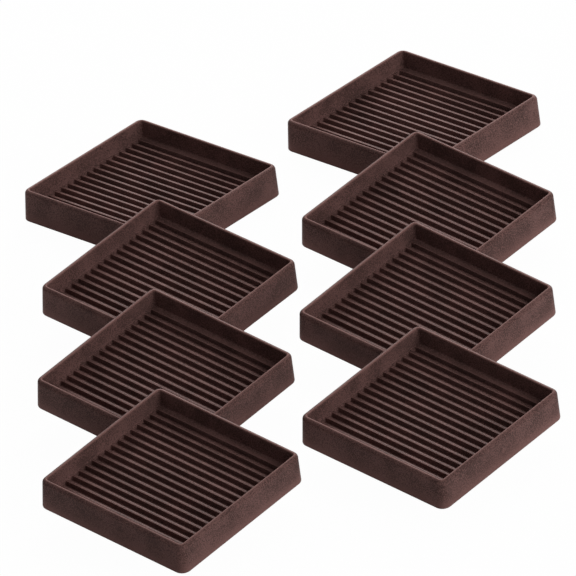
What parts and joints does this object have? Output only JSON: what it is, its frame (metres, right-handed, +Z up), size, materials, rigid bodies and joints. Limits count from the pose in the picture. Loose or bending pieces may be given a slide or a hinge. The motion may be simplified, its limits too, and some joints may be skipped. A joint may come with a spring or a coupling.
{
  "type": "furniture leg cup set",
  "caption": "Square anti-slip rubber cups with a ribbed tray for furniture legs, laid out as two fanned columns in which each cup leans on the one behind it.",
  "frame": {"origin": "on the floor, under the middle of the set's bounding box", "axes": "+Y runs along the two columns towards the flat back cups, +X from the left column to the right one, +Z up"},
  "size_m": [0.2516, 0.4434, 0.0343],
  "materials": {
    "moulded_rubber": "matt moulded, fine grain"
  },
  "bodies": {
    "back_right": {"back_right_cup": "moulded_rubber"},
    "second_right": {"second_right_cup": "moulded_rubber"},
    "third_right": {"third_right_cup": "moulded_rubber"},
    "front_right": {"front_right_cup": "moulded_rubber"},
    "back_left": {"back_left_cup": "moulded_rubber"},
    "second_left": {"second_left_cup": "moulded_rubber"},
    "third_left": {"third_left_cup": "moulded_rubber"},
    "front_left": {"front_left_cup": "moulded_rubber"}
  },
  "joints": [
    {"name": "lift_second_right", "type": "slide", "parent": "back_right", "child": "second_right", "axis": [0, 0, 1], "range_m": [0, 0.045]},
    {"name": "lift_third_right", "type": "slide", "parent": "second_right", "child": "third_right", "axis": [0, 0, 1], "range_m": [0, 0.045]},
    {"name": "lift_front_right", "type": "slide", "parent": "third_right", "child": "front_right", "axis": [0, 0, 1], "range_m": [0, 0.045]},
    {"name": "lift_back_left", "type": "slide", "parent": "back_right", "child": "back_left", "axis": [0, 0, 1], "range_m": [0, 0.045]},
    {"name": "lift_second_left", "type": "slide", "parent": "back_left", "child": "second_left", "axis": [0, 0, 1], "range_m": [0, 0.045]},
    {"name": "lift_third_left", "type": "slide", "parent": "second_left", "child": "third_left", "axis": [0, 0, 1], "range_m": [0, 0.045]},
    {"name": "lift_front_left", "type": "slide", "parent": "third_left", "child": "front_left", "axis": [0, 0, 1], "range_m": [0, 0.045]}
  ]
}
